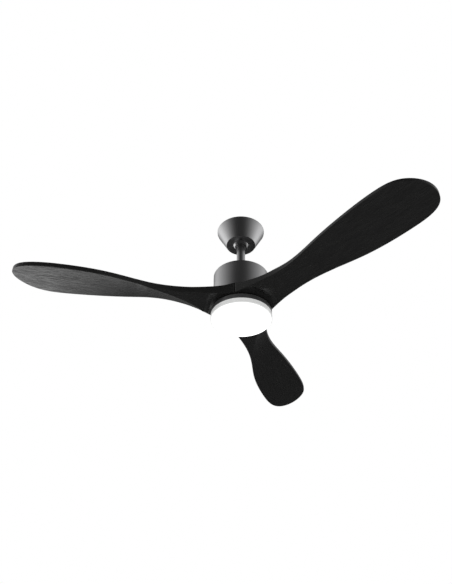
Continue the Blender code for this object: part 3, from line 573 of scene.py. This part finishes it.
def blade_mesh():
    """One blade along +X: both skins as grids, joined by walls with rounded corners."""
    lead, trail = blade_edges()
    rows, rounds = blade_rows(lead, trail)
    wide, long = len(rows[0]), len(rows)
    plan = np.array(rows)
    low_z, top_z = blade_heights(plan[..., 0], plan[..., 1], lead, trail)
    bm = bmesh.new()
    low = [[bm.verts.new((*plan[i, j], low_z[i, j])) for j in range(wide)] for i in range(long)]
    top = [[bm.verts.new((*plan[i, j], top_z[i, j])) for j in range(wide)] for i in range(long)]
    for i in range(long - 1):
        for j in range(wide - 1):
            bm.faces.new((low[i][j], low[i][j + 1], low[i + 1][j + 1], low[i + 1][j]))
            bm.faces.new((top[i][j], top[i + 1][j], top[i + 1][j + 1], top[i][j + 1]))
    # the rim runs once round the grid: leading edge, tip, trailing edge, bore
    rim = [(i, 0) for i in range(long)] + [(long - 1, j) for j in range(1, wide)]
    rim += [(i, wide - 1) for i in reversed(range(long - 1))]
    rim += [(0, j) for j in reversed(range(1, wide - 1))]
    count = len(rim)
    flat = np.array([plan[i, j] for i, j in rim])
    tangent = np.roll(flat, -1, axis=0) - np.roll(flat, 1, axis=0)
    out = np.stack([tangent[:, 1], -tangent[:, 0]], axis=1)
    out /= np.hypot(out[:, 0], out[:, 1])[:, None]
    arcs, walls = 4, 4
    columns = []
    for (i, j), p, n in zip(rim, flat, out):
        r = rounds[i]
        z0, z1 = low_z[i, j], top_z[i, j]
        points = [low[i][j]]
        for k in range(1, arcs + 1):
            a = pi / 2 * k / arcs
            points.append(bm.verts.new((*(p + n * r * sin(a)), z0 + r - r * cos(a))))
        for k in range(1, walls):
            points.append(bm.verts.new((*(p + n * r), z0 + r + (z1 - z0 - 2 * r) * k / walls)))
        for k in range(arcs, 0, -1):
            a = pi / 2 * k / arcs
            points.append(bm.verts.new((*(p + n * r * sin(a)), z1 - r + r * cos(a))))
        columns.append(points + [top[i][j]])
    for k in range(count):
        here, after = columns[k], columns[(k + 1) % count]
        for a in range(len(here) - 1):
            bm.faces.new((here[a], here[a + 1], after[a + 1], after[a]))
    return bm


def build_blades(finishes):
    bm = blade_mesh()
    bmesh.ops.scale(bm, vec=(MM, MM, MM), verts=bm.verts)
    bmesh.ops.recalc_face_normals(bm, faces=bm.faces)
    for k, (azimuth, finish) in enumerate(zip(BLADE_TURNS, finishes), start=1):
        mesh = bpy.data.meshes.new(f"carved_blade_{k}")
        bm.to_mesh(mesh)
        mesh.transform(Matrix.Rotation(azimuth, 4, "Z"))
        mesh.materials.append(finish)
        mesh.shade_smooth()
        add_piece(f"carved_blade_{k}", mesh, "rotor", [f"blade_{k}"])
    bm.free()


# ---------------------------------------------------------------- turned pieces
def build_canopy(finish):
    radius, low, top = size_of("canopy")
    wall, bottom_r, hole_r, rim = 1.5, 46.9, 25.6, 2.7
    lip_half, lip_near, lip_far = 8, 66, 75.7
    profile = [(radius, top, 0.5), (radius, top - rim, 1.5), (bottom_r, low, 0.9),
               (hole_r, low, 0.4), (hole_r, low + wall, 0.3), (bottom_r - wall, low + wall, 1.0),
               (radius - wall, top - rim - 0.3, 1.0), (radius - wall, top, 0.3)]
    tools = [("UNION", block((-lip_half, -lip_far, top - 2.3), (lip_half, -lip_near, top - 0.3)))]
    for turn_deg, width, depth in ((-90, 8.0, 5.0), (-22, 4.0, 3.0), (202, 4.0, 3.0)):
        notch = block((hole_r - 5, -width / 2, low - 3), (hole_r + depth, width / 2, low + 3))
        bmesh.ops.rotate(notch, matrix=Matrix.Rotation(radians(turn_deg), 3, "Z"),
                         verts=notch.verts)
        tools.append(("DIFFERENCE", notch))
    bm = combined(lathe(filleted(profile)), tools)
    finish_mesh("spun_canopy", bm, finish, "ceiling_mount", ["canopy"], 30)


def build_ball(finish):
    ball_r, centre, bore = 30.0, -40.5, 13.65
    groove_r, groove_half, groove_far = 27.8, 2.5, 34
    pin_z, slot_half, slot_reach = -33, 3.3, 23
    set_screw_r, set_screw_z = 2.3, -47
    _, low, top = size_of("hanger_ball")
    start = atan2(low - centre, sqrt(ball_r ** 2 - (low - centre) ** 2))
    end = atan2(top - centre, sqrt(ball_r ** 2 - (top - centre) ** 2))
    steps = 28
    skin = [(ball_r * cos(a), centre + ball_r * sin(a))
            for a in (start + (end - start) * i / steps for i in range(steps + 1))]
    groove = lathe([(groove_r, -groove_half), (groove_far, -groove_half),
                    (groove_far, groove_half), (groove_r, groove_half)], SMALL)
    turn = Vector((0, 0, 1)).rotation_difference(Vector((0, 1, 0))).to_matrix().to_4x4()
    bmesh.ops.transform(groove, matrix=Matrix.Translation((0, 0, centre)) @ turn,
                        verts=groove.verts)
    slot = block((-slot_half, -slot_reach, pin_z - slot_half), (slot_half, slot_reach, top + 5))
    tools = [("DIFFERENCE", groove), ("DIFFERENCE", slot),
             ("DIFFERENCE", rod(set_screw_r, 24, (-24, 0, set_screw_z), (1, 0, 0)))]
    bm = combined(lathe([(bore, low)] + skin + [(bore, top)], SMALL), tools)
    finish_mesh("socket_ball", bm, finish, "hanging_stem", ["hanger_ball"], 30)


def build_stem(paint):
    rod_r, low, top = size_of("downrod")
    inner, pin_hole_r, ball_pin_z, clevis_pin_z = 11.35, 3.3, -33, -168
    tools = [("DIFFERENCE", rod(pin_hole_r, 40, (0, 0, ball_pin_z), (0, 1, 0))),
             ("DIFFERENCE", rod(pin_hole_r, 40, (0, 0, clevis_pin_z), (1, 0, 0)))]
    bm = combined(lathe(filleted([(rod_r, top, 0.5), (rod_r, low, 0.5), (inner, low, 0.3),
                                  (inner, top, 0.3)], 3), SMALL), tools)
    finish_mesh("painted_downrod", bm, paint, "hanging_stem", ["downrod"], 30)

    cover_r, low, top = size_of("coupling_cover")
    bore = rod_r + 0.3
    profile = [(bore, top, 0.4), (22.0, top - 1.2, 5.0), (28.5, top - 9, 14.0), (cover_r, low, 0.3),
               (cover_r - 1.2, low, 0.3), (27.3, top - 9.6, 14.0), (21.4, top - 2.6, 4.0),
               (bore, top - 1.4)]
    finish_mesh("spun_cover", lathe(filleted(profile)), paint, "hanging_stem",
                ["coupling_cover"])

    radius, low, top = size_of("motor_housing")
    wall, hole, screw_ring_r, screw_hole_r = 1.6, 20.6, 25.2, 2.1
    profile = [(hole, top, 0.3), (radius, top, 1.3), (radius, low, 0.5), (radius - wall, low, 0.4),
               (radius - wall, top - wall, 1.2), (hole, top - wall)]
    tools = []
    for turn_deg in (30, 150, 270):
        at = (*round_about(screw_ring_r, radians(turn_deg)), top)
        tools.append(("DIFFERENCE", rod(screw_hole_r, 10, at, (0, 0, 1), 24)))
    bm = combined(lathe(filleted(profile, 7)), tools)
    finish_mesh("drum_housing", bm, paint, "hanging_stem", ["motor_housing"], 30)


def sector_block(inner, outer, middle, low, high, width=radians(14), steps=10):
    turns = [middle + width * (k / steps - 0.5) for k in range(steps + 1)]
    ring = [round_about(outer, a) for a in turns]
    ring += [round_about(inner, a) for a in reversed(turns)]
    bm = bmesh.new()
    base = bm.faces.new([bm.verts.new((x, y, low)) for x, y in ring])
    raised = bmesh.ops.extrude_face_region(bm, geom=[base])["geom"]
    bmesh.ops.translate(bm, vec=(0, 0, high - low),
                        verts=[v for v in raised if isinstance(v, bmesh.types.BMVert)])
    bmesh.ops.recalc_face_normals(bm, faces=bm.faces)
    return bm


def build_light(paint, opal_finish):
    radius, low, top = size_of("light_pan")
    bore, wall, plate = 10.3, 2.0, 1.6
    post_ring_r, post_r, post_length, post_in, hole_r = 62, 4.0, 5.4, 0.5, 1.9
    profile = [(bore, top, 0.3), (radius, top, 1.3), (radius, low, 0.35), (radius - wall, low, 0.3),
               (radius - wall, top - plate, 0.6), (bore, top - plate, 0.3)]
    tools = [("UNION", sector_block(88.4, 90.6, turn, -336.2, -333.8)) for turn in BLADE_TURNS]
    for turn_deg in (0, 120, 240):
        at = round_about(post_ring_r, radians(turn_deg))
        post_z = top - plate + post_in - post_length / 2
        tools.append(("UNION", rod(post_r, post_length, (*at, post_z), (0, 0, 1))))
        tools.append(("DIFFERENCE", rod(hole_r, 6, (*at, -329.0), (0, 0, 1), 24)))
    bm = combined(lathe(filleted(profile)), tools)
    finish_mesh("light_collar", bm, paint, "hanging_stem", ["light_pan"], 30)

    radius, low, top = size_of("shade")
    neck, neck_in, wall = 88.0, 85.8, 2.2
    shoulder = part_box("light_pan")[0].z / MM - 0.3
    profile = [(0, low), (radius, low, 3.4), (radius, shoulder, 0.5), (neck, shoulder),
               (neck, top, 0.3), (neck_in, top, 0.3), (neck_in, shoulder - 2, 0.5),
               (radius - wall, shoulder - 2, 0.5), (radius - wall, low + wall, 1.8),
               (0, low + wall)]
    tools = [("UNION", sector_block(87.2, 89.2, turn, -333.4, top)) for turn in BLADE_TURNS]
    bm = combined(lathe(filleted(profile, 8)), tools)
    finish_mesh("opal_shade", bm, opal_finish, "shade", ["shade"], 30)


# ---------------------------------------------------------------- stage
FLOOR_Z = -2.75
FLOOR_RADIUS = 14.0
FLOOR_GLOW = 0.42
# a soft box in front and below reaches under the hub, where the light body shades it
SOFTBOX_AT = (0.0, -2.0, -2.2)
SOFTBOX_SIZE = 1.4
SOFTBOX_POWER = 36.0
# brightness of the studio's wall, from behind the camera (0) past the sides (0.5) to the back (1)
WALL_ROUND = [(0.0, 0.0), (0.04, 0.02), (0.10, 0.11), (0.20, 0.26), (0.325, 0.44), (0.45, 0.60),
              (0.60, 0.88), (0.72, 1.0), (0.82, 0.88), (0.90, 0.34), (0.97, 0.09)]
# brightness from straight down (0) past the horizon (0.5) to straight up (1)
WALL_HEIGHT = [(0.32, 0.0), (0.41, 0.85), (0.5, 1.0), (0.65, 0.95), (0.81, 0.56), (1.0, 0.4)]
WALL_LEFT, WALL_RIGHT = 1.35, 1.15
# a low card at the back left, which gives the left blade its sheen
CARD_HEIGHT = [(0.23, 0.0), (0.29, 1.0), (0.41, 1.0), (0.46, 0.0)]
CARD_EDGE = (-0.29, -0.41)
CARD_LEVEL = 2.42
FILL_LEVEL = 0.035
FRONT_TURN = radians(3.5)      # the wall's front, turned about Z from -Y


def build_floor():
    bm = bmesh.new()
    bmesh.ops.create_circle(bm, cap_ends=True, segments=96, radius=FLOOR_RADIUS)
    mesh = bpy.data.meshes.new("floor")
    bm.to_mesh(mesh)
    bm.free()
    made, nodes, shader, place = new_material("floor_paint")
    cloud = nodes.noise(place, 3.0, 3.0)
    nodes.put(shader.inputs["Base Color"],
              nodes.mix(nodes.spread(cloud, 0.3, 0.7), rgba(0.80), rgba(0.84)))
    shader.inputs["Roughness"].default_value = 0.9
    shader.inputs["Emission Color"].default_value = (1.0, 1.0, 1.0, 1.0)
    shader.inputs["Emission Strength"].default_value = FLOOR_GLOW
    mesh.materials.append(made)
    floor = bpy.data.objects.new("floor", mesh)
    bpy.context.scene.collection.objects.link(floor)
    floor.location = (0, 0, FLOOR_Z)
    floor.visible_glossy = False


def build_softbox():
    lamp = bpy.data.lights.new("front_softbox", "AREA")
    lamp.shape = "DISK"
    lamp.size = SOFTBOX_SIZE
    lamp.energy = SOFTBOX_POWER
    softbox = bpy.data.objects.new("front_softbox", lamp)
    bpy.context.scene.collection.objects.link(softbox)
    softbox.location = SOFTBOX_AT
    aim = Vector((0, 0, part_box("shade")[1].z)) - softbox.location
    softbox.rotation_mode = "QUATERNION"
    softbox.rotation_quaternion = aim.to_track_quat("-Z", "Y")
    softbox.visible_glossy = False
    softbox.visible_camera = False


def build_surround():
    """Plain white to the camera; a soft wall, a low card and a weak fill to the object."""
    world = bpy.data.worlds.new("studio")
    bpy.context.scene.world = world
    world.use_nodes = True
    tree = world.node_tree
    tree.nodes.clear()
    nodes = Nodes(tree)
    direction = nodes.add("ShaderNodeTexCoord").outputs["Generated"]
    direction = nodes.add("ShaderNodeVectorRotate", {"Vector": direction, "Angle": FRONT_TURN},
                          rotation_type="Z_AXIS").outputs[0]
    parts = nodes.add("ShaderNodeSeparateXYZ", {"Vector": direction})
    x, y, z = (parts.outputs[k] for k in ("X", "Y", "Z"))
    flat = nodes.math("MAXIMUM", nodes.length(x, y), 0.001)
    forward, across = nodes.math("DIVIDE", y, flat), nodes.math("DIVIDE", x, flat)
    height = nodes.linear(z, -1, 1)
    wall = nodes.math("MULTIPLY", nodes.ramp(nodes.linear(forward, -1, 1), WALL_ROUND),
                      nodes.ramp(height, WALL_HEIGHT))
    wall = nodes.math("MULTIPLY", wall, nodes.linear(across, -1, 1, WALL_LEFT, WALL_RIGHT))
    card = nodes.math("MULTIPLY", nodes.spread(across, *CARD_EDGE), nodes.ramp(height, CARD_HEIGHT))
    card = nodes.math("MULTIPLY", card, nodes.spread(forward, 0.0, 0.4, 0.0, CARD_LEVEL))
    level = nodes.math("ADD", nodes.math("MAXIMUM", wall, card), FILL_LEVEL)
    seen = nodes.add("ShaderNodeLightPath").outputs["Is Camera Ray"]
    soft = nodes.add("ShaderNodeBackground", {"Color": rgba(1.0), "Strength": level})
    white = nodes.add("ShaderNodeBackground", {"Color": rgba(1.0), "Strength": 1.0})
    both = nodes.add("ShaderNodeMixShader", {0: seen, 1: soft.outputs[0], 2: white.outputs[0]})
    output = nodes.add("ShaderNodeOutputWorld")
    nodes.put(output.inputs["Surface"], both.outputs[0])


# ---------------------------------------------------------------- build
build_camera()
build_floor()
build_softbox()
build_surround()
bpy.context.scene.view_settings.view_transform = "Standard"

PAINT = satin_paint("graphite_satin")
# the light collar gets a darker, non-metallic black of its own, not the graphite paint of the
# housing
COLLAR = moulded("collar_darker_black", (0.049, 0.049, 0.050), 0.34, scale=520.0, bump=0.04, sheen=0.85)
WOOD = [black_wood(f"black_stained_wood_{k}", turn) for k, turn in enumerate(BLADE_TURNS, start=1)]
shade_r, shade_low, _ = size_of("shade")
FACE_INSET = 1.5               # the glowing face stops this short of the shade's side
OPAL = opal("opal_acrylic_lit", (shade_r - FACE_INSET) * MM, shade_low * MM,
            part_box("light_pan")[0].z)

build_blades(WOOD)
build_canopy(PAINT)
build_ball(PAINT)
build_stem(PAINT)
build_light(COLLAR, OPAL)

SLOT_FINISH = {
    "graphite_paint": PAINT,
    "black_wood": WOOD[0],
    "opal_acrylic": OPAL,
    "zinc_steel": metal("zinc_plate", (0.62, 0.63, 0.65), 0.34, (1, 1, 0.1)),
    "screw_steel": metal("black_oxide_steel", (0.16, 0.16, 0.165), 0.36),
    "cast_alloy": metal("cast_alloy_skin", (0.52, 0.52, 0.53), 0.50, scale=650.0, bump=0.25),
    "copper_wire": striped("enamelled_copper", (0.78, 0.30, 0.12), 0.30, 0.0009),
    "core_steel": striped("laminated_core", (0.36, 0.36, 0.38), 0.42, 0.0005),
    "magnet_ferrite": moulded("ferrite_block", (0.055, 0.055, 0.06), 0.55, 300.0, 0.3),
    "rubber": moulded("gasket_rubber", (0.018, 0.018, 0.018), 0.78),
    "black_plastic": moulded("moulded_black", (0.028, 0.028, 0.030), 0.50),
    "cable_sheath": moulded("cable_sheath_skin", (0.045, 0.045, 0.05), 0.55, 200.0, 0.15),
    "led_board": diode_board("diode_board_mask"),
}
node_slots = {row["node"]: row["material_slot"] for row in frame["record"]["subparts"]}
for name, node in frame["nodes"].items():
    finish = SLOT_FINISH[node_slots[name]]
    for slot in node.material_slots:
        slot.material = finish
